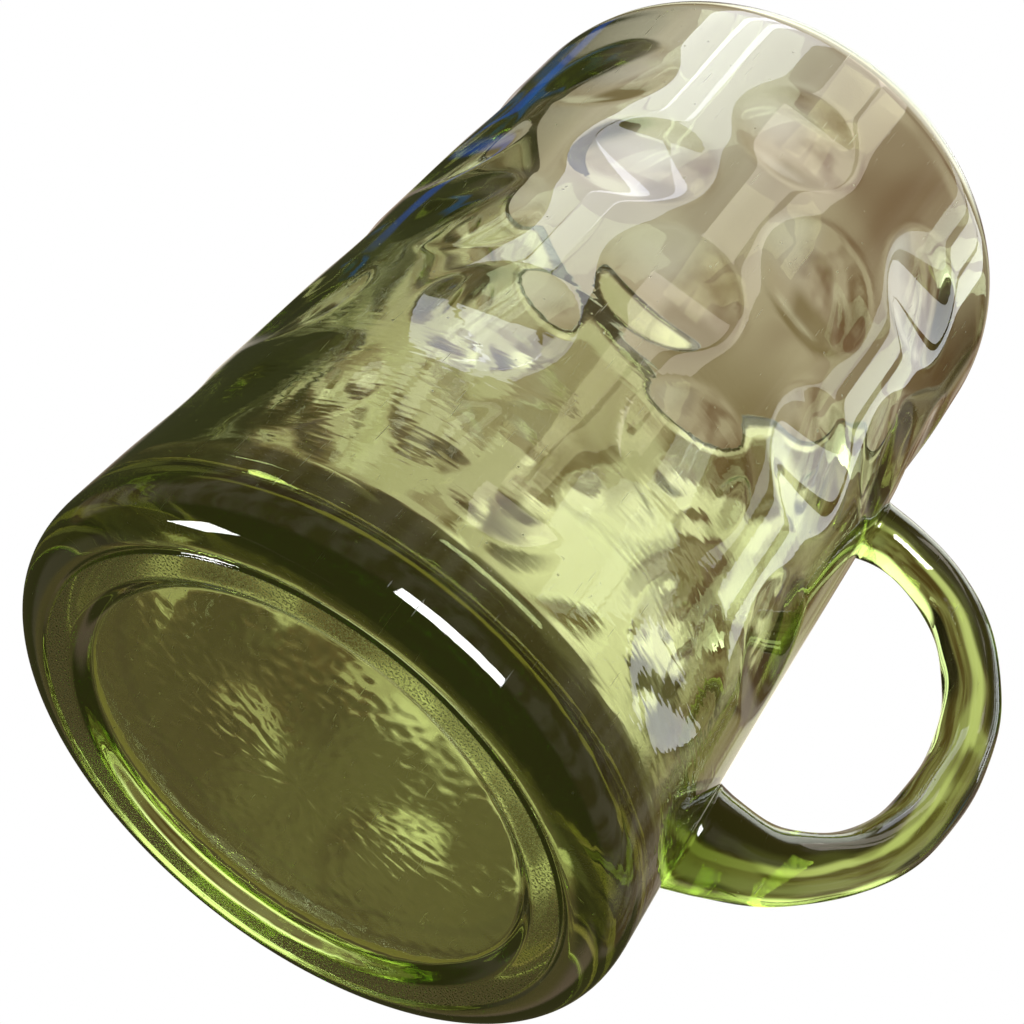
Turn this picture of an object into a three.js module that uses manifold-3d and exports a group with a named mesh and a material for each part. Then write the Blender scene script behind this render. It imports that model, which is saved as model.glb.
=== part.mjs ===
// A dimpled glass mug: a pressed glass body and a glass handle fused to its wall.
// Millimetres, +Z up. The mug stands on z = 0 with its handle towards +X, and the
// origin lies under the middle of the whole object's outline.
import * as THREE from 'three';
import { mergeVertices } from 'three/addons/utils/BufferGeometryUtils.js';
import Module from 'manifold-3d';

const wasm = await Module();
wasm.setup();

// Body
const HEIGHT = 131;
const HEEL_RADIUS = 43;
const RIM_RADIUS = 42.8;
const WAIST = 0.5; // how far the wall is drawn in, half-way up
const WALL_AT_RIM = 3.2;
const WALL_AT_FLOOR = 5.2;
const BASE_THICKNESS = 10;
const FLOOR_FILLET = 5;
const LIP_DRAW = 2; // the rim's outside edge rounds in by this much
const LIP_HEIGHT = 6; // over this height

// Foot: a flat ring to stand on, around a shallow recess
const HEEL_OVERHANG = 6.3; // from the foot ring's outer edge to the heel
const HEEL_HEIGHT = 7;
const HEEL_SQUARENESS = 2.5; // 2 is an ellipse, more is squarer
const FOOT_RING_WIDTH = 3.5;
const RECESS_DEPTH = 1.5;
const RECESS_STEP = 2.5; // width of the slope from the ring up to the recess

// Dimples: round hollows in staggered rows
const DIMPLE_RADIUS = 10;
const DIMPLE_DEPTH = 0.9;
const DIMPLE_PITCH = 30; // along the wall, in one row
const FIRST_DIMPLE_ANGLE = -90; // from the handle, in degrees: the first one faces -Y
const DIMPLE_ROWS = 5;
const FIRST_ROW_HEIGHT = 25.6; // from the foot to the lowest row's centres
const LAST_ROW_DROP = 26; // from the rim to the highest row's centres
const HANDLE_STRIP = 18; // half-width of the plain wall behind the handle, in degrees

// Handle: a round rod with a flared lower root
const ROD_RADIUS = 4.2;
const LOWER_ROOT_RADIUS = 7.9;
const LOWER_ROOT_HEIGHT = 30;
const UPPER_ROOT_RADIUS = 5;
const UPPER_ROOT_DROP = 36.5; // from the rim to the upper root's centre
const FINGER_ROOM = 23; // from the wall to the inside of the loop
const LOWER_FLARE_LENGTH = 26; // the lower root tapers into the rod along this length
const UPPER_FLARE_LENGTH = 9;
const ROOT_DEPTH = 6; // how far the rod is drawn into the wall before it is trimmed
const FUSE_GAP = 0.3; // between the handle's ends and the wall

// Fineness of the faceted surfaces
const LATHE_SIDES = 60;
const CURVE_STEPS = 4;
const DIMPLE_SIDES = 16;
const DIMPLE_RINGS = 3;
const ROD_SIDES = 16;
const ROD_STEPS = 30;

const WELD_DISTANCE = 1e-4; // vertices this close are one

const QUARTER_TURN = Math.PI / 2;

const bodyGlass = new THREE.MeshStandardMaterial({ color: 0x8d9452, roughness: 0.06, metalness: 0 });
const handleGlass = new THREE.MeshStandardMaterial({ color: 0x7f8a3a, roughness: 0.05, metalness: 0 });

// The wall's outer radius at a height: straight from heel to rim, drawn in at the middle.
function wallRadius(z) {
  const up = (z - HEEL_HEIGHT) / (HEIGHT - HEEL_HEIGHT);
  return THREE.MathUtils.lerp(HEEL_RADIUS, RIM_RADIUS, up) - WAIST * 4 * up * (1 - up);
}

// The glass is thinnest at the rim and thickens evenly down to the floor.
function wallThickness(z) {
  const up = (z - BASE_THICKNESS) / (HEIGHT - BASE_THICKNESS);
  return THREE.MathUtils.lerp(WALL_AT_FLOOR, WALL_AT_RIM, up);
}

// Turns a closed mesh into a solid that can be cut and joined.
function solidFrom(geometry) {
  geometry.deleteAttribute('normal');
  geometry.deleteAttribute('uv');
  const welded = mergeVertices(geometry, WELD_DISTANCE);
  const corners = welded.index.array;
  const kept = [];
  for (let i = 0; i < corners.length; i += 3) {
    const [a, b, c] = corners.slice(i, i + 3);
    // Triangles that meet the axis of a turned shape can close up to nothing.
    if (a !== b && b !== c && c !== a) {
      kept.push(a, b, c);
    }
  }
  const vertProperties = welded.attributes.position.array;
  return new wasm.Manifold(new wasm.Mesh({ numProp: 3, vertProperties, triVerts: new Uint32Array(kept) }));
}

function geometryFrom(solid) {
  const mesh = solid.getMesh();
  const geometry = new THREE.BufferGeometry();
  geometry.setAttribute('position', new THREE.BufferAttribute(mesh.vertProperties, 3));
  geometry.setIndex(new THREE.BufferAttribute(mesh.triVerts, 1));
  geometry.computeVertexNormals();
  return geometry;
}

// A solid turned about Z from [radius, height] points, the first and last on the axis.
function turned(profile, sides) {
  const points = profile.map(([radius, height]) => new THREE.Vector2(radius, height));
  return solidFrom(new THREE.LatheGeometry(points, sides).rotateX(QUARTER_TURN));
}

// The profile of the glass, from the recess's centre round by the rim to the floor's centre.
function bodyProfile() {
  const ringOuter = HEEL_RADIUS - HEEL_OVERHANG;
  const ringInner = ringOuter - FOOT_RING_WIDTH;
  const profile = [
    [0, RECESS_DEPTH],
    [ringInner - RECESS_STEP, RECESS_DEPTH],
    [ringInner - RECESS_STEP / 3, RECESS_DEPTH / 2], // the slope is steeper near the ring
    [ringInner, 0],
  ];
  for (let i = 0; i <= CURVE_STEPS; i += 1) {
    const angle = (QUARTER_TURN * i) / CURVE_STEPS;
    const out = Math.sin(angle) ** (2 / HEEL_SQUARENESS);
    const up = 1 - Math.cos(angle) ** (2 / HEEL_SQUARENESS);
    profile.push([ringOuter + HEEL_OVERHANG * out, HEEL_HEIGHT * up]);
  }
  const lipHeight = HEIGHT - LIP_HEIGHT;
  for (let i = 1; i <= CURVE_STEPS; i += 1) {
    const z = THREE.MathUtils.lerp(HEEL_HEIGHT, lipHeight, i / CURVE_STEPS);
    profile.push([wallRadius(z), z]);
  }
  // The lip is melted round: a long quarter-ellipse outside and a short one inside.
  const lipTop = wallRadius(lipHeight) - LIP_DRAW;
  const lipInside = wallThickness(lipHeight) - LIP_DRAW;
  for (let i = 1; i <= 2 * CURVE_STEPS; i += 1) {
    const angle = (QUARTER_TURN * i) / CURVE_STEPS;
    const width = i <= CURVE_STEPS ? LIP_DRAW : lipInside;
    const height = i <= CURVE_STEPS ? LIP_HEIGHT : lipInside;
    const base = HEIGHT - height;
    profile.push([lipTop + width * Math.cos(angle), base + height * Math.sin(angle)]);
  }
  const filletTop = BASE_THICKNESS + FLOOR_FILLET;
  for (let i = 1; i <= CURVE_STEPS; i += 1) {
    const z = THREE.MathUtils.lerp(HEIGHT - lipInside, filletTop, i / CURVE_STEPS);
    profile.push([wallRadius(z) - wallThickness(z), z]);
  }
  const filletCentre = wallRadius(filletTop) - wallThickness(filletTop) - FLOOR_FILLET;
  for (let i = 1; i <= CURVE_STEPS; i += 1) {
    const angle = (QUARTER_TURN * i) / CURVE_STEPS;
    const radius = filletCentre + FLOOR_FILLET * Math.cos(angle);
    profile.push([radius, filletTop - FLOOR_FILLET * Math.sin(angle)]);
  }
  profile.push([0, BASE_THICKNESS]);
  return profile;
}

// The tool that presses one dimple. Its nose is a shallow cap of the dimple's radius and depth,
// bent round the wall so that the dimple's outline comes out round, and it points at the axis.
function dimpleTool(wall) {
  const capRadius = (DIMPLE_RADIUS ** 2 + DIMPLE_DEPTH ** 2) / (2 * DIMPLE_DEPTH);
  const spread = 1.25; // the tool is this much wider than the dimple, and so it starts clear of the wall
  const toolRadius = DIMPLE_RADIUS * spread;
  const profile = [];
  for (let i = 0; i <= DIMPLE_RINGS; i += 1) {
    const radius = (toolRadius * i) / DIMPLE_RINGS;
    profile.push([radius, capRadius - Math.sqrt(capRadius ** 2 - radius ** 2)]);
  }
  // The shank is as long as the wall curves away across the tool, so the flat back stays outside it.
  const shank = wall - Math.sqrt(wall ** 2 - toolRadius ** 2);
  const back = profile.at(-1)[1] + shank;
  profile.push([toolRadius, back], [0, back]);
  const points = profile.map(([radius, height]) => new THREE.Vector2(radius, height));
  const geometry = new THREE.LatheGeometry(points, DIMPLE_SIDES).rotateZ(-QUARTER_TURN);
  const position = geometry.getAttribute('position');
  for (let i = 0; i < position.count; i += 1) {
    const across = position.getY(i);
    const bend = wall - Math.sqrt(wall ** 2 - across ** 2);
    position.setX(i, position.getX(i) + wall - DIMPLE_DEPTH - bend);
  }
  return solidFrom(geometry);
}

function makeBody() {
  const perRow = Math.floor((2 * Math.PI * HEEL_RADIUS) / DIMPLE_PITCH);
  const step = 360 / perRow;
  const rowPitch = (HEIGHT - LAST_ROW_DROP - FIRST_ROW_HEIGHT) / (DIMPLE_ROWS - 1);
  const tools = [];
  for (let row = 0; row < DIMPLE_ROWS; row += 1) {
    const z = FIRST_ROW_HEIGHT + rowPitch * row;
    const tool = dimpleTool(wallRadius(z)).translate([0, 0, z]);
    const behindHandle = z < HEIGHT - UPPER_ROOT_DROP;
    const stagger = row % 2 === 0 ? 0 : step / 2;
    for (let i = 0; i < perRow; i += 1) {
      const angle = FIRST_DIMPLE_ANGLE + stagger + step * i;
      const fromHandle = Math.abs(THREE.MathUtils.euclideanModulo(angle + 180, 360) - 180);
      if (!(behindHandle && fromHandle < HANDLE_STRIP)) {
        tools.push(tool.rotate([0, 0, angle]));
      }
    }
  }
  const glass = turned(bodyProfile(), LATHE_SIDES);
  return glass.subtract(wasm.Manifold.union(tools));
}

// The rod's centre line, in the XZ plane: out of the wall at the lower root, round the
// fingers and back to the wall at the upper root.
function handlePath() {
  const low = LOWER_ROOT_HEIGHT;
  const high = HEIGHT - UPPER_ROOT_DROP;
  const lowWall = wallRadius(low);
  const highWall = wallRadius(high);
  const reach = FINGER_ROOM + ROD_RADIUS;
  const at = (out, up) => {
    const wall = THREE.MathUtils.lerp(lowWall, highWall, up);
    return new THREE.Vector3(wall + reach * out, 0, THREE.MathUtils.lerp(low, high, up));
  };
  return new THREE.CatmullRomCurve3([
    new THREE.Vector3(lowWall - ROOT_DEPTH, 0, low - 1),
    at(0.13, 0.012),
    at(0.47, 0.07),
    at(0.84, 0.245),
    at(1.0, 0.525),
    at(0.9, 0.775),
    at(0.63, 0.937),
    at(0.2, 1.005),
    new THREE.Vector3(highWall - ROOT_DEPTH, 0, high - 1),
  ], false, 'centripetal');
}

function makeHandle() {
  const path = handlePath();
  const length = path.getLength();
  const centres = path.getSpacedPoints(ROD_STEPS);
  const section = new THREE.Shape().absarc(0, 0, ROD_RADIUS, 0, 2 * Math.PI, false);
  // A full circle takes twice as many sides as curveSegments says.
  const options = { steps: ROD_STEPS, curveSegments: ROD_SIDES / 2, bevelEnabled: false, extrudePath: path };
  const rod = new THREE.ExtrudeGeometry(section, options);
  const position = rod.getAttribute('position');
  const point = new THREE.Vector3();
  for (let i = 0; i < position.count; i += 1) {
    point.fromBufferAttribute(position, i);
    let ring = 0;
    centres.forEach((centre, k) => {
      if (centre.distanceTo(point) < centres[ring].distanceTo(point)) {
        ring = k;
      }
    });
    const fromLow = (length * ring) / ROD_STEPS - ROOT_DEPTH;
    const fromHigh = length - 2 * ROOT_DEPTH - fromLow;
    const lowFlare = THREE.MathUtils.clamp(1 - fromLow / LOWER_FLARE_LENGTH, 0, 1) ** 2;
    const highFlare = THREE.MathUtils.clamp(1 - fromHigh / UPPER_FLARE_LENGTH, 0, 1) ** 2;
    const radius = ROD_RADIUS + (LOWER_ROOT_RADIUS - ROD_RADIUS) * lowFlare
      + (UPPER_ROOT_RADIUS - ROD_RADIUS) * highFlare;
    point.sub(centres[ring]).multiplyScalar(radius / ROD_RADIUS).add(centres[ring]);
    position.setXYZ(i, point.x, point.y, point.z);
  }
  // The ends are trimmed to the wall, just clear of it.
  const trim = [[0, 0]];
  for (let i = 0; i <= CURVE_STEPS; i += 1) {
    const z = THREE.MathUtils.lerp(HEEL_HEIGHT, HEIGHT, i / CURVE_STEPS);
    trim.push([wallRadius(z) + FUSE_GAP, z]);
  }
  trim.push([0, HEIGHT]);
  return solidFrom(rod).subtract(turned(trim, LATHE_SIDES));
}

const body = new THREE.Mesh(geometryFrom(makeBody()), bodyGlass);
body.name = 'glass_body';

const handle = new THREE.Mesh(geometryFrom(makeHandle()), handleGlass);
handle.name = 'glass_handle';

const mug = new THREE.Group();
mug.add(body, handle);

const outline = new THREE.Box3().setFromObject(mug);
mug.position.x = -(outline.min.x + outline.max.x) / 2;

const object = new THREE.Group();
object.add(mug);
export default object;
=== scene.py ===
import math

import bpy
import numpy as np
from mathutils import Matrix, Vector, noise


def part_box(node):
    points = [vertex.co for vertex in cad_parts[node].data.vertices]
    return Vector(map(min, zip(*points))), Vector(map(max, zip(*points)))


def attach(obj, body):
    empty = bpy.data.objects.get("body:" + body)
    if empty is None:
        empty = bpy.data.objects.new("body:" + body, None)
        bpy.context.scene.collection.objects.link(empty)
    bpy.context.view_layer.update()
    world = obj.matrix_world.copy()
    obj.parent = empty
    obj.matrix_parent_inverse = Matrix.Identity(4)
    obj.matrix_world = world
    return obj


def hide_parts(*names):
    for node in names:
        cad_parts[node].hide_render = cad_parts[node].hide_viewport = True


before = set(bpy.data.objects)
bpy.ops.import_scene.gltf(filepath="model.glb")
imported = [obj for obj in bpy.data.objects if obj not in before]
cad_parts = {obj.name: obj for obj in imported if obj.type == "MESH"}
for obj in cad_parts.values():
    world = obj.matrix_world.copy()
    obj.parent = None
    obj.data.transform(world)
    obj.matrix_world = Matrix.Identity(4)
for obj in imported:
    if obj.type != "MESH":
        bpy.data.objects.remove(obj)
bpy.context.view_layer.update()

# ---- Camera ----
# A hand-held view from under the mug's foot: the mug seems to lie tipped over to the
# upper right, with its base towards the eye and its handle on the right.
# Places are in millimetres from the foot of the mug's own axis.
MM = 0.001
body_low, body_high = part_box("glass_body")
AXIS = Vector(((body_low.x + body_high.x) / 2, (body_low.y + body_high.y) / 2, 0))
CAMERA_PLACE = Vector((13.9, -198.9, -108.7))
VIEW_BEARING = math.radians(94.255)  # from the handle's direction, anticlockwise
VIEW_RISE = math.radians(39.458)
VIEW_ROLL = math.radians(39.277)
LENS = 65.69


def direction(bearing, rise):
    level = math.cos(rise)
    return Vector((level * math.cos(bearing), level * math.sin(bearing), math.sin(rise)))


forward = direction(VIEW_BEARING, VIEW_RISE)
level_right = forward.cross(Vector((0, 0, 1))).normalized()
level_up = level_right.cross(forward)
right = level_right * math.cos(VIEW_ROLL) + level_up * math.sin(VIEW_ROLL)
up = right.cross(forward)
camera = bpy.data.objects.new("camera", bpy.data.cameras.new("camera"))
camera.data.lens = LENS
camera.data.clip_start = 10 * MM
camera.matrix_world = Matrix.Translation(AXIS + CAMERA_PLACE * MM) @ Matrix(
    (right, up, -forward)
).transposed().to_4x4()
bpy.context.scene.collection.objects.link(camera)
bpy.context.scene.camera = camera
bpy.context.scene.view_settings.view_transform = "Standard"
# Light is led a long way inside the thick base, from side to side of the wall.
TURNS_IN_GLASS = 32
bpy.context.scene.cycles.max_bounces = TURNS_IN_GLASS
bpy.context.scene.cycles.glossy_bounces = TURNS_IN_GLASS
bpy.context.scene.cycles.transmission_bounces = TURNS_IN_GLASS


# ---- Room ----
# A bright room with cream walls, brown woodwork and curtains in folds. The lens itself sees
# plain white; only the glass reflects and refracts the room, as it needs dark beside light.
def linear(colour):
    """An sRGB hex colour as linear red, green, blue and a full alpha."""
    channels = [int(colour[i:i + 2], 16) / 255 for i in (1, 3, 5)]
    return [c / 12.92 if c <= 0.04045 else ((c + 0.055) / 1.055) ** 2.4 for c in channels] + [1]


def add_node(tree, kind, inputs, **settings):
    """Adds a node; an input is given a value or is linked from another node's output."""
    node = tree.nodes.new(kind)
    for name, value in settings.items():
        setattr(node, name, value)
    for socket, value in inputs.items():
        if isinstance(value, bpy.types.NodeSocket):
            tree.links.new(value, node.inputs[socket])
        else:
            node.inputs[socket].default_value = value
    return node


ROOM_WALL = "#bfae9c"
CURTAIN_FOLD = "#7a5c46"
FOLD_WIDTH = 0.11  # of the distance to the curtain
# Parts of the room as seen from the mug, in degrees. A later one lies over an earlier one:
# bearing from the handle, rise, half-width, half-height, softness of the edge, colour, strength
PARTS = (
    (0, -90, 180, 78, 6, "#1d1a16", 1.0),  # the floor, far below, in the dark
    (112, -26, 16, 10, 6, "#857b6c", 1.0),  # a rug
    (65, -22, 18, 8, 6, "#9a8372", 2.0),  # a stool
    (90, -33, 20, 14, 6, "#b3a06a", 0.9),  # an olive mat
    (95, 8, 50, 24, 3, "#3f3b29", 1.0),  # a sideboard in the shade
    (82, 28, 13, 6, 4, "#6f6a55", 1.0),  # a bowl on the sideboard
    (92, 37.5, 36, 3.5, 1.5, "#fff4e0", 0.8),  # the lit wall above it
    (83, 37, 9, 4, 3, "#fff8ea", 1.4),  # a lamp in front of the wall
    (88, 43, 6, 3, 2, "#8f7d60", 1.0),  # a picture frame
    (126, 54, 31, 7, 5, "#ece0da", 0.75),  # a pale pelmet
    (150, 40, 32, 22, 6, "#3b3c2b", 1.0),  # a door to a dark hall
    (142, 48, 4, 5, 2, "#2a5cb8", 1.0),  # a blue jacket in the doorway
    (16, 57, 36, 10, 5, "#1a1712", 1.0),  # a dark beam
    (0, 90, 180, 22, 4, "#f4f8ec", 3.4),  # a white ceiling
    (-55, 42, 14, 22, 8, "#6a4a31", 1.0),  # a wooden door
)

world = bpy.data.worlds.new("room")
bpy.context.scene.world = world
world.use_nodes = True
tree = world.node_tree
tree.nodes.clear()
seen = add_node(tree, "ShaderNodeTexCoord", {}).outputs["Generated"]
folds = add_node(tree, "ShaderNodeTexNoise", {"Vector": add_node(
    tree, "ShaderNodeVectorMath", {0: seen, 1: (1 / FOLD_WIDTH, 1 / FOLD_WIDTH, 0.6)},
    operation="MULTIPLY").outputs[0], "Scale": 1.0, "Detail": 2.0, "Roughness": 0.5})
fold_edge = add_node(tree, "ShaderNodeMapRange", {
    "Value": folds.outputs["Fac"], "From Min": 0.38, "From Max": 0.62})
room = add_node(tree, "ShaderNodeMix", {
    "Factor": fold_edge.outputs[0], "A": linear(CURTAIN_FOLD), "B": linear(ROOM_WALL)},
    data_type="RGBA").outputs["Result"]


def angle_off(tree, seen, ahead, across):
    """The angle of what is seen from straight ahead, measured across one way."""
    far = add_node(tree, "ShaderNodeVectorMath", {0: seen, 1: ahead}, operation="DOT_PRODUCT")
    side = add_node(tree, "ShaderNodeVectorMath", {0: seen, 1: across}, operation="DOT_PRODUCT")
    return add_node(tree, "ShaderNodeMath", {
        0: side.outputs["Value"], 1: far.outputs["Value"]}, operation="ARCTAN2").outputs[0]


def within(tree, angle, half, soft):
    """1 where an angle is less than half either way, falling to 0 over a soft edge."""
    size = add_node(tree, "ShaderNodeMath", {0: angle}, operation="ABSOLUTE")
    return add_node(tree, "ShaderNodeMapRange", {
        "Value": size.outputs[0], "From Min": math.radians(half + soft),
        "From Max": math.radians(half - soft)}, interpolation_type="SMOOTHSTEP").outputs[0]


for bearing, rise, half_width, half_height, soft, colour, strength in PARTS:
    bearing, rise = math.radians(bearing), math.radians(rise)
    level = direction(bearing, 0)
    beside = Vector((-level.y, level.x, 0))
    above = Vector((0, 0, 1))
    height = add_node(tree, "ShaderNodeVectorMath", {0: seen, 1: above}, operation="DOT_PRODUCT")
    seen_rise = add_node(tree, "ShaderNodeMath", {0: height.outputs["Value"]}, operation="ARCSINE")
    off_rise = add_node(tree, "ShaderNodeMath", {0: seen_rise.outputs[0], 1: rise}, operation="SUBTRACT")
    off_bearing = angle_off(tree, seen, level, beside)
    share = add_node(tree, "ShaderNodeMath", {
        0: within(tree, off_bearing, half_width, soft),
        1: within(tree, off_rise.outputs[0], half_height, soft)}, operation="MULTIPLY")
    lit = [strength * channel for channel in linear(colour)[:3]] + [1]
    room = add_node(tree, "ShaderNodeMix", {
        "Factor": share.outputs[0], "A": room, "B": lit}, data_type="RGBA").outputs["Result"]
lens_ray = add_node(tree, "ShaderNodeLightPath", {}).outputs["Is Camera Ray"]
surroundings = add_node(tree, "ShaderNodeBackground", {"Color": room, "Strength": 1.0})
plain_white = add_node(tree, "ShaderNodeBackground", {"Color": (1, 1, 1, 1), "Strength": 1.0})
backdrop = add_node(tree, "ShaderNodeMixShader", {
    0: lens_ray, 1: surroundings.outputs[0], 2: plain_white.outputs[0]})
add_node(tree, "ShaderNodeOutputWorld", {"Surface": backdrop.outputs[0]})


# ---- Window lights ----
# Soft rectangular lights stand for the windows. Each one's edges show as a crisp white
# highlight on the rounded heel and on the handle.
# name, bearing, rise, half-width and half-height in degrees, brightness, warmth
WINDOWS = (
    ("tall_window_1", -151, 53, 5, 12, 3.0, "#e9eeff"),
    ("tall_window_2", -138, 53, 4, 12, 3.8, "#e9eeff"),
    ("tall_window_3", -124, 53, 6, 12, 2.8, "#e9eeff"),
    ("door_pane_1", -91, 56, 5, 12, 2.0, "#fff6ec"),
    ("door_pane_2", -74, 55, 4, 12, 2.2, "#fff6ec"),
    ("door_pane_3", -22, 53, 2.5, 13, 1.6, "#f6fbff"),
    ("door_pane_4", -8, 49, 3.5, 13, 2.6, "#f6fbff"),
    ("door_pane_5", 6, 49, 3.5, 13, 2.6, "#f6fbff"),
    ("side_window", -79, -17, 19, 9, 30.0, "#ffffff"),
    ("low_window", 173, -50, 8, 5, 26.0, "#ffffff"),
)
WINDOW_DISTANCE = 0.75
WINDOW_AIM = 60 * MM  # the height on the mug that they all face
for name, bearing, rise, half_width, half_height, brightness, warmth in WINDOWS:
    light = bpy.data.objects.new(name, bpy.data.lights.new(name, "AREA"))
    light.data.shape = "RECTANGLE"
    light.data.size = 2 * WINDOW_DISTANCE * math.tan(math.radians(half_width))
    light.data.size_y = 2 * WINDOW_DISTANCE * math.tan(math.radians(half_height))
    light.data.energy = brightness * math.pi * light.data.size * light.data.size_y
    light.data.color = linear(warmth)[:3]
    away = direction(math.radians(bearing), math.radians(rise))
    light.location = AXIS + Vector((0, 0, WINDOW_AIM)) + away * WINDOW_DISTANCE
    light.rotation_mode = "QUATERNION"
    light.rotation_quaternion = away.to_track_quat("Z", "Y")
    light.visible_camera = False
    bpy.context.scene.collection.objects.link(light)


# ---- Floor ----
# A plain pale table top just under the foot. It shows only from above and only to the lens,
# so that the mug can be looked at from below and still refracts the room.
FLOOR_SIZE = 1.6
FLOOR_DROP = 0.5 * MM
floor_mesh = bpy.data.meshes.new("table_top")
half = FLOOR_SIZE / 2
floor_mesh.from_pydata(
    [(x, y, -FLOOR_DROP) for x, y in ((-half, -half), (half, -half), (half, half), (-half, half))],
    [], [(0, 1, 2, 3)])
floor = bpy.data.objects.new("table_top", floor_mesh)
bpy.context.scene.collection.objects.link(floor)
matt_board = bpy.data.materials.new("matt_white_board")
matt_board.use_nodes = True
tree = matt_board.node_tree
tree.nodes.clear()
mottle = add_node(tree, "ShaderNodeTexNoise", {"Scale": 9.0, "Detail": 4.0})
tone = add_node(tree, "ShaderNodeMix", {
    "Factor": mottle.outputs["Fac"], "A": linear("#e9e6df"), "B": linear("#f4f2ee")}, data_type="RGBA")
pale = add_node(tree, "ShaderNodeBsdfDiffuse", {"Color": tone.outputs["Result"]})
clear = add_node(tree, "ShaderNodeBsdfTransparent", {})
facing_down = add_node(tree, "ShaderNodeNewGeometry", {}).outputs["Backfacing"]
from_above = add_node(tree, "ShaderNodeMath", {0: 1.0, 1: facing_down}, operation="SUBTRACT")
to_lens = add_node(tree, "ShaderNodeLightPath", {}).outputs["Is Camera Ray"]
shows = add_node(tree, "ShaderNodeMath", {0: from_above.outputs[0], 1: to_lens}, operation="MULTIPLY")
board = add_node(tree, "ShaderNodeMixShader", {
    0: shows.outputs[0], 1: clear.outputs[0], 2: pale.outputs[0]})
add_node(tree, "ShaderNodeOutputMaterial", {"Surface": board.outputs[0]})
floor.data.materials.append(matt_board)


# ---- Glass body ----
# One pressing of green soda-lime glass: a thick base with a foot ring around a shallow
# recess, a nearly straight wall with five staggered rows of round hollows pressed into its
# outside, a smooth inside, and a lip that was melted round.
HEEL_RADIUS = (body_high.y - body_low.y) / 2 / MM
HEIGHT = body_high.z / MM
RIM_DRAW = 0.2
WAIST = 0.5
WALL_AT_RIM = 3.2
WALL_AT_FLOOR = 5.2
BASE_THICKNESS = 10
FLOOR_FILLET = 5
LIP_DRAW = 2
LIP_HEIGHT = 6
HEEL_OVERHANG = 6.3
HEEL_HEIGHT = 7
HEEL_SQUARENESS = 2.5
FOOT_RING_WIDTH = 3.5
RING_BEVEL = 0.5
SEAM_WIDTH = 0.9  # the groove between the base plate's print and the heel
SEAM_DEPTH = 0.4
RECESS_DEPTH = 1.5
RECESS_STEP = 2.5

DIMPLE_RADIUS = 10
DIMPLE_DEPTH = 0.9
DIMPLE_EDGE = 0.12  # how softly the hollow's edge runs into the wall
DIMPLES_PER_ROW = 9
DIMPLE_ROWS = 5
FIRST_ROW_HEIGHT = 25.6
LAST_ROW_HEIGHT = HEIGHT - 26
HANDLE_STRIP = 18
UPPER_ROOT_HEIGHT = HEIGHT - 36.5

BODY_SIDES = 360
PEEL_WAVE = 1.5  # the mould's orange-peel skin, on the flat of the recess
PEEL_HEIGHT = 0.042
FLOOR_WAVE = 6  # the plunger's chill waves on the inner floor
FLOOR_WAVE_HEIGHT = 0.25
SWELL_WAVE = 17  # slow unevenness of hand-finished glass
SWELL_HEIGHT = 0.10
EVEN_STRIP = 14  # degrees either side of the handle that stay even, for its joints


def wall_radius(z):
    rise = (z - HEEL_HEIGHT) / (HEIGHT - HEEL_HEIGHT)
    return HEEL_RADIUS - RIM_DRAW * rise - WAIST * 4 * rise * (1 - rise)


def wall_thickness(z):
    rise = (z - BASE_THICKNESS) / (HEIGHT - BASE_THICKNESS)
    return WALL_AT_FLOOR + (WALL_AT_RIM - WALL_AT_FLOOR) * rise


def dimple_places():
    """The angle and height of each hollow; none is pressed between the handle's roots."""
    places = []
    step = 360 / DIMPLES_PER_ROW
    for row in range(DIMPLE_ROWS):
        height = FIRST_ROW_HEIGHT + (LAST_ROW_HEIGHT - FIRST_ROW_HEIGHT) * row / (DIMPLE_ROWS - 1)
        for i in range(DIMPLES_PER_ROW):
            angle = -90 + step / 2 * (row % 2) + step * i
            from_handle = abs((angle + 180) % 360 - 180)
            if height > UPPER_ROOT_HEIGHT or from_handle >= HANDLE_STRIP:
                places.append((math.radians(angle), height))
    return places


def dimple_inset(angle, z):
    """How far the wall is pressed in at an angle and a height, in millimetres."""
    inset = np.zeros(np.broadcast(angle, z).shape)
    cap = (DIMPLE_RADIUS ** 2 + DIMPLE_DEPTH ** 2) / (2 * DIMPLE_DEPTH)
    for middle, height in dimple_places():
        across = (angle - middle + math.pi) % (2 * math.pi) - math.pi
        away = np.minimum((across * HEEL_RADIUS) ** 2 + (z - height) ** 2, cap ** 2)
        hollow = DIMPLE_DEPTH - cap + np.sqrt(cap ** 2 - away)
        inset += (hollow + np.sqrt(hollow ** 2 + DIMPLE_EDGE ** 2)) / 2
    return inset


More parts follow.
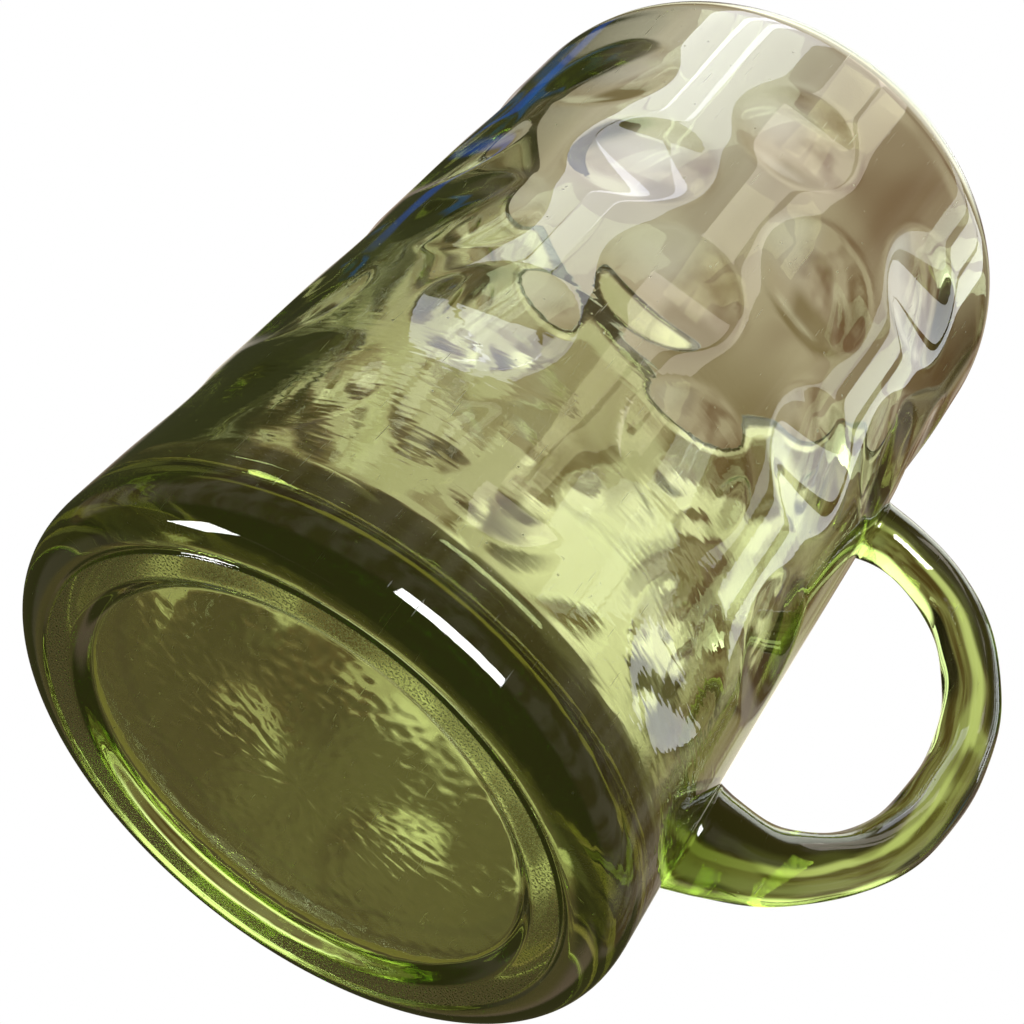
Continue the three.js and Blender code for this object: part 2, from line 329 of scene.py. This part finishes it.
def body_rows():
    """The outline of the glass, from the recess's centre by the rim to the floor's centre."""
    ring_outer = HEEL_RADIUS - HEEL_OVERHANG
    ring_inner = ring_outer - FOOT_RING_WIDTH
    recess = ring_inner - RECESS_STEP
    rows = [(r, RECESS_DEPTH) for r in np.linspace(0.6, recess - 1.2, 48)]
    for s in np.linspace(0, 1, 12):
        rows.append((recess - 0.6 + (RECESS_STEP + 0.6) * s,
                     RECESS_DEPTH * (1 + math.cos(math.pi * s)) / 2))
    flat = FOOT_RING_WIDTH - 2 * RING_BEVEL
    rows += [(ring_inner + RING_BEVEL + flat * s, 0) for s in (0.1, 0.4, 0.7, 1)]
    rows += [(ring_outer + SEAM_WIDTH * (s - 0.5), SEAM_DEPTH * math.sin(math.pi * s) ** 2)
             for s in (0.0, 0.2, 0.4, 0.6, 0.8)]
    for s in np.linspace(0.06, 1, 22):
        turn = math.pi / 2 * s
        rows.append((ring_outer + HEEL_OVERHANG * math.sin(turn) ** (2 / HEEL_SQUARENESS),
                     HEEL_HEIGHT * (1 - math.cos(turn) ** (2 / HEEL_SQUARENESS))))
    lip_base = HEIGHT - LIP_HEIGHT
    rows += [(wall_radius(z), z) for z in np.linspace(HEEL_HEIGHT + 1, lip_base, 118)]
    lip_top = wall_radius(lip_base) - LIP_DRAW
    lip_inside = wall_thickness(lip_base) - LIP_DRAW
    for s in np.linspace(0.08, 1, 12):
        turn = math.pi / 2 * s
        rows.append((lip_top + LIP_DRAW * math.cos(turn), lip_base + LIP_HEIGHT * math.sin(turn)))
    for s in np.linspace(0.15, 1, 6):
        turn = math.pi / 2 * s
        rows.append((lip_top - lip_inside * math.sin(turn),
                     HEIGHT - lip_inside + lip_inside * math.cos(turn)))
    fillet_top = BASE_THICKNESS + FLOOR_FILLET
    rows += [(wall_radius(z) - wall_thickness(z), z)
             for z in np.linspace(HEIGHT - 3.5, fillet_top + 1, 34)]
    fillet_centre = wall_radius(fillet_top) - wall_thickness(fillet_top) - FLOOR_FILLET
    for s in np.linspace(0, 1, 12):
        turn = math.pi / 2 * s
        rows.append((fillet_centre + FLOOR_FILLET * math.cos(turn),
                     fillet_top - FLOOR_FILLET * math.sin(turn)))
    rows += [(r, BASE_THICKNESS) for r in np.linspace(fillet_centre - 2, 0.8, 12)]
    return np.array(rows)


def closed_skin(name, rings, first, last):
    """A closed mesh over rings of points, shut by a fan at each end; millimetres from the axis."""
    count, sides = rings.shape[:2]
    points = np.vstack([rings.reshape(-1, 3), first, last]) * MM + np.array(AXIS)
    near = np.arange(sides)
    beside = (near + 1) % sides
    faces = []
    for ring in range(count - 1):
        low, high = ring * sides, (ring + 1) * sides
        faces += np.column_stack([near + low, beside + low, beside + high, near + high]).tolist()
    first_point, last_point = count * sides, count * sides + 1
    faces += [(first_point, int(b), int(a)) for a, b in zip(near, beside)]
    top = (count - 1) * sides
    faces += [(last_point, int(a) + top, int(b) + top) for a, b in zip(near, beside)]
    mesh = bpy.data.meshes.new(name)
    mesh.from_pydata(points.tolist(), [], faces)
    mesh.shade_smooth()
    piece = bpy.data.objects.new(name, mesh)
    bpy.context.scene.collection.objects.link(piece)
    return piece


rows = body_rows()
angles = 2 * math.pi * np.arange(BODY_SIDES) / BODY_SIDES
radius = np.repeat(rows[:, :1], BODY_SIDES, axis=1)
height = np.repeat(rows[:, 1:], BODY_SIDES, axis=1)
outer_row = np.argmax(rows[:, 1] > HEEL_HEIGHT)
lip_row = np.argmax(rows[:, 1] >= HEIGHT - 1e-6)
row_numbers = np.arange(len(rows))[:, None]
on_wall = (row_numbers >= outer_row) & (row_numbers < lip_row)
radius -= np.where(on_wall, dimple_inset(angles[None, :], height), 0)
rings = np.stack([radius * np.cos(angles), radius * np.sin(angles), height], axis=2)
for i, ring in enumerate(rings):
    in_recess = rows[i, 1] == RECESS_DEPTH and i < outer_row
    for point in ring:
        place = Vector(point)
        from_handle = abs(math.degrees(math.atan2(place.y, place.x)))
        swell = noise.noise(place / SWELL_WAVE + Vector((i > lip_row, 5, 2)))
        swell *= min(1, max(0, (from_handle - EVEN_STRIP) / EVEN_STRIP))
        if rows[i, 1] > HEEL_HEIGHT and rows[i, 1] < HEIGHT - 1:
            outward = Vector((place.x, place.y, 0)).normalized()
            point += np.array(outward) * SWELL_HEIGHT * swell * (-1 if i > lip_row else 0.5)
        elif in_recess:
            peel = noise.noise(place / PEEL_WAVE) + 0.5 * noise.noise(place / PEEL_WAVE * 2.1)
            point[2] += PEEL_HEIGHT * peel
        elif rows[i, 1] == BASE_THICKNESS:
            point[2] += FLOOR_WAVE_HEIGHT * noise.noise(place / FLOOR_WAVE)
glass_body = closed_skin("pressed_glass_body", rings, (0, 0, RECESS_DEPTH), (0, 0, BASE_THICKNESS))

# Green soda-lime glass, fire-polished. It is clear where the wall is thin and deep olive
# through the base, so its colour lies in the depth and not on the surface.
GLASS_IOR = 1.52
GLASS_DENSITY = 118  # per metre, for the colour that it swallows most
GLASS_TINT = (0.475, 0.593, 0.0, 1)  # share of that which red, green and blue keep
POLISH = 0.015
RIPPLE_LENGTH = 3.2 * MM
RIPPLE_WAVE = 0.75 * MM
RIPPLE_HEIGHT = 0.02 * MM
RIPPLED_HEIGHT = 62 * MM
RIPPLED_PATCH = 26 * MM
SPECK_SPACING = 2.6 * MM
SPECK_SHARE = 0.22
SPECK_SIZE = 0.09  # of the spacing
SCRATCH_WIDTH = 0.16 * MM
SCRATCH_LENGTH = 5 * MM
SCRATCH_LEANS = (0.5, 2.1)
SCUFF_GRAIN = 0.35 * MM
SCUFF_HEIGHT = 0.06 * MM
WORN_ROUGHNESS = 0.42
GLOW = "#ffeaa8"
GLOW_STRENGTH = 1.3  # per metre


def glass_material(name, rippled, density):
    material = bpy.data.materials.new(name)
    material.use_nodes = True
    tree = material.node_tree
    tree.nodes.clear()
    place = add_node(tree, "ShaderNodeTexCoord", {}).outputs["Object"]
    # Chill ripples: fine level waves, in patches low on the wall, where the glass first
    # met the cool mould.
    wave_place = add_node(tree, "ShaderNodeVectorMath", {
        0: place, 1: (1 / RIPPLE_LENGTH, 1 / RIPPLE_LENGTH, 1 / RIPPLE_WAVE)}, operation="MULTIPLY")
    ripples = add_node(tree, "ShaderNodeTexNoise", {
        "Vector": wave_place.outputs[0], "Scale": 1.0, "Detail": 0.0, "Distortion": 0.3})
    patch_noise = add_node(tree, "ShaderNodeTexNoise", {
        "Vector": place, "Scale": 1 / RIPPLED_PATCH, "Detail": 1.0})
    patch = add_node(tree, "ShaderNodeMapRange", {
        "Value": patch_noise.outputs["Fac"], "From Min": 0.35, "From Max": 0.65, "To Max": rippled})
    height = add_node(tree, "ShaderNodeSeparateXYZ", {0: place}).outputs["Z"]
    low = add_node(tree, "ShaderNodeMapRange", {
        "Value": height, "From Min": RIPPLED_HEIGHT, "From Max": RIPPLED_HEIGHT / 2})
    depth = add_node(tree, "ShaderNodeMath", {0: patch.outputs[0], 1: low.outputs[0]}, operation="MULTIPLY")
    wave = add_node(tree, "ShaderNodeMath", {
        0: ripples.outputs["Fac"], 1: depth.outputs[0]}, operation="MULTIPLY")
    bump = add_node(tree, "ShaderNodeBump", {
        "Height": wave.outputs[0], "Strength": 1.0, "Distance": RIPPLE_HEIGHT})
    # Specks: one cell in a few holds a matt pit or a grain of dust.
    cells = add_node(tree, "ShaderNodeTexVoronoi", {"Vector": place, "Scale": 1 / SPECK_SPACING})
    chance = add_node(tree, "ShaderNodeSeparateColor", {"Color": cells.outputs["Color"]})
    chosen = add_node(tree, "ShaderNodeMath", {
        0: chance.outputs["Red"], 1: 1 - SPECK_SHARE}, operation="GREATER_THAN")
    speck = add_node(tree, "ShaderNodeMapRange", {
        "Value": cells.outputs["Distance"], "From Min": SPECK_SIZE, "From Max": SPECK_SIZE / 2})
    worn = add_node(tree, "ShaderNodeMath", {
        0: speck.outputs[0], 1: chosen.outputs[0]}, operation="MULTIPLY").outputs[0]
    # Scratches: short hairlines, two families that cross.
    for lean in SCRATCH_LEANS:
        hair_place = add_node(tree, "ShaderNodeMapping", {
            "Vector": place, "Rotation": (lean, 0.3, -lean),
            "Scale": (1 / SCRATCH_WIDTH, 1 / SCRATCH_LENGTH, 1 / SCRATCH_LENGTH)}, vector_type="POINT")
        hairs = add_node(tree, "ShaderNodeTexNoise", {
            "Vector": hair_place.outputs[0], "Scale": 1.0, "Detail": 0.0})
        hair = add_node(tree, "ShaderNodeMapRange", {
            "Value": hairs.outputs["Fac"], "From Min": 0.85, "From Max": 0.89})
        worn = add_node(tree, "ShaderNodeMath", {
            0: worn, 1: hair.outputs[0]}, operation="MAXIMUM").outputs[0]
    # The foot ring is scuffed matt by every table that it was put down on.
    grit = add_node(tree, "ShaderNodeTexNoise", {"Vector": place, "Scale": 1 / SCUFF_GRAIN, "Detail": 2.0})
    grazed = add_node(tree, "ShaderNodeMapRange", {
        "Value": grit.outputs["Fac"], "From Min": 0.42, "From Max": 0.62})
    touching = add_node(tree, "ShaderNodeMapRange", {
        "Value": height, "From Min": SCUFF_HEIGHT, "From Max": 0.0})
    scuff = add_node(tree, "ShaderNodeMath", {
        0: grazed.outputs[0], 1: touching.outputs[0]}, operation="MULTIPLY")
    worn = add_node(tree, "ShaderNodeMath", {
        0: worn, 1: scuff.outputs[0]}, operation="MAXIMUM").outputs[0]
    rough = add_node(tree, "ShaderNodeMapRange", {
        "Value": worn, "To Min": POLISH, "To Max": WORN_ROUGHNESS})
    shader = add_node(tree, "ShaderNodeBsdfPrincipled", {
        "Base Color": (1, 1, 1, 1), "Roughness": rough.outputs[0], "IOR": GLASS_IOR,
        "Transmission Weight": 1.0, "Normal": bump.outputs[0]})
    # Painted light: the glass itself glows inside. The glow stands for room light that reaches the thick
    # base along the wall, from the rim.
    swallowed = add_node(tree, "ShaderNodeVolumeAbsorption", {"Color": GLASS_TINT, "Density": density})
    painted_glow = add_node(tree, "ShaderNodeEmission", {"Color": linear(GLOW), "Strength": GLOW_STRENGTH})
    inside = add_node(tree, "ShaderNodeAddShader", {0: swallowed.outputs[0], 1: painted_glow.outputs[0]})
    add_node(tree, "ShaderNodeOutputMaterial", {"Surface": shader.outputs[0], "Volume": inside.outputs[0]})
    return material


glass_body.data.materials.append(glass_material("fire_polished_green_glass", 1.0, GLASS_DENSITY))
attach(glass_body, "root")
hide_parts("glass_body")

# ---- Glass handle ----
# A rod of the same glass, drawn out hot, bent round and pressed on to the wall at both ends.
# It is thick where it was stuck on low down and thins to an even rod round the fingers.
ROD_RADIUS = 4.2
LOWER_ROOT_RADIUS = 7.9
LOWER_ROOT_HEIGHT = 30
UPPER_ROOT_RADIUS = 5
FINGER_ROOM = 23
FLARE_LENGTH = 26
UPPER_FLARE_LENGTH = 9
ROOT_DEPTH = 6
FUSE_GAP = 0.05
ROD_UNEVEN = 0.07  # slow swelling along the drawn rod
ROD_TWIST = 0.05  # and a finer one that winds round it
ROD_SIDES = 64
ROD_ROWS = 150


def handle_path(count):
    """Evenly spaced points on the rod's centre line, and their distances from its start."""
    low_wall, high_wall = wall_radius(LOWER_ROOT_HEIGHT), wall_radius(UPPER_ROOT_HEIGHT)
    reach = FINGER_ROOM + ROD_RADIUS
    corners = [(low_wall - ROOT_DEPTH, LOWER_ROOT_HEIGHT - 1)]
    for out, rise in ((0.13, 0.012), (0.47, 0.07), (0.84, 0.245), (1.0, 0.525),
                      (0.9, 0.775), (0.63, 0.937), (0.2, 1.005)):
        wall = low_wall + (high_wall - low_wall) * rise
        corners.append((wall + reach * out,
                        LOWER_ROOT_HEIGHT + (UPPER_ROOT_HEIGHT - LOWER_ROOT_HEIGHT) * rise))
    corners.append((high_wall - ROOT_DEPTH, UPPER_ROOT_HEIGHT - 1))
    corners = np.array(corners)
    # Centripetal Catmull-Rom: each span is timed by the square root of its length.
    padded = np.vstack([2 * corners[0] - corners[1], corners, 2 * corners[-1] - corners[-2]])
    fine = []
    for i in range(1, len(padded) - 2):
        p = padded[i - 1:i + 3]
        t = np.concatenate([[0], np.cumsum(np.sqrt(np.linalg.norm(np.diff(p, axis=0), axis=1)))])
        for s in np.linspace(t[1], t[2], 60, endpoint=i == len(padded) - 3):
            a = [((t[k + 1] - s) * p[k] + (s - t[k]) * p[k + 1]) / (t[k + 1] - t[k]) for k in range(3)]
            b = [((t[k + 2] - s) * a[k] + (s - t[k]) * a[k + 1]) / (t[k + 2] - t[k]) for k in range(2)]
            fine.append(((t[2] - s) * b[0] + (s - t[1]) * b[1]) / (t[2] - t[1]))
    fine = np.array(fine)
    along = np.concatenate([[0], np.cumsum(np.linalg.norm(np.diff(fine, axis=0), axis=1))])
    even = np.linspace(0, along[-1], count)
    return np.column_stack([np.interp(even, along, fine[:, k]) for k in range(2)]), even


centres, lengths = handle_path(1200)
tangents = np.gradient(centres, axis=0)
tangents /= np.linalg.norm(tangents, axis=1)[:, None]


def rod_point(length, turn):
    """The rod's surface at a length from its start and a turn around it, in millimetres."""
    centre = [np.interp(length, lengths, centres[:, k]) for k in range(2)]
    lean = [np.interp(length, lengths, tangents[:, k]) for k in range(2)]
    from_low = length - ROOT_DEPTH
    from_high = lengths[-1] - ROOT_DEPTH - length
    low_flare = np.clip(1 - from_low / FLARE_LENGTH, 0, 1) ** 2
    high_flare = np.clip(1 - from_high / UPPER_FLARE_LENGTH, 0, 1) ** 2
    r = ROD_RADIUS + (LOWER_ROOT_RADIUS - ROD_RADIUS) * low_flare
    r = r + (UPPER_ROOT_RADIUS - ROD_RADIUS) * high_flare
    r = r + ROD_UNEVEN * np.sin(length / 4.1 + 2 * np.cos(turn))
    r = r + ROD_TWIST * np.sin(length / 2.3 + 3 * turn)
    side = r * np.sin(turn)
    out = r * np.cos(turn)
    return np.stack([centre[0] - lean[1] * out, side, centre[1] + lean[0] * out], axis=-1)


def clearance(points):
    """How far points stand off the wall, less the gap that is left for the joint."""
    reach = np.hypot(points[..., 0], points[..., 1])
    angle = np.arctan2(points[..., 1], points[..., 0])
    wall = wall_radius(points[..., 2]) - dimple_inset(angle, points[..., 2])
    return reach - wall - FUSE_GAP


turns = -2 * math.pi * np.arange(ROD_SIDES) / ROD_SIDES
tries = np.linspace(0, lengths[-1], 1600)
starts, ends = [], []
for turn in turns:
    free = clearance(rod_point(tries, turn)) > 0
    crossing = np.flatnonzero(free)
    starts.append(tries[crossing[0]])
    ends.append(tries[crossing[-1]])
starts, ends = np.array(starts), np.array(ends)
share = np.linspace(0, 1, ROD_ROWS)[:, None]
lengths_grid = starts * (1 - share) + ends * share
rod = rod_point(lengths_grid, turns[None, :])


def seal(ring):
    """Rings that close a rod's end along the wall, and the point in the middle."""
    middle = ring.mean(axis=0)
    rings = []
    for reach in (0.85, 0.6, 0.35, 0.12):
        inner = middle + (ring - middle) * reach
        standing = clearance(inner)
        outward = inner * (1, 1, 0)
        outward /= np.linalg.norm(outward, axis=1)[:, None]
        rings.append(inner - outward * standing[:, None])
    last = rings[-1].mean(axis=0)
    return rings, last


low_rings, low_middle = seal(rod[0])
high_rings, high_middle = seal(rod[-1])
rod = np.concatenate([np.array(low_rings[::-1]), rod, np.array(high_rings)])
HANDLE_DENSITY = 225  # the handle's glass has a higher density than the body's, so it shows a deeper, darker green
glass_handle = closed_skin("drawn_glass_handle", rod, low_middle, high_middle)
glass_handle.data.materials.append(glass_material("drawn_green_glass", 0.3, HANDLE_DENSITY))
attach(glass_handle, "root")
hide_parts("glass_handle")
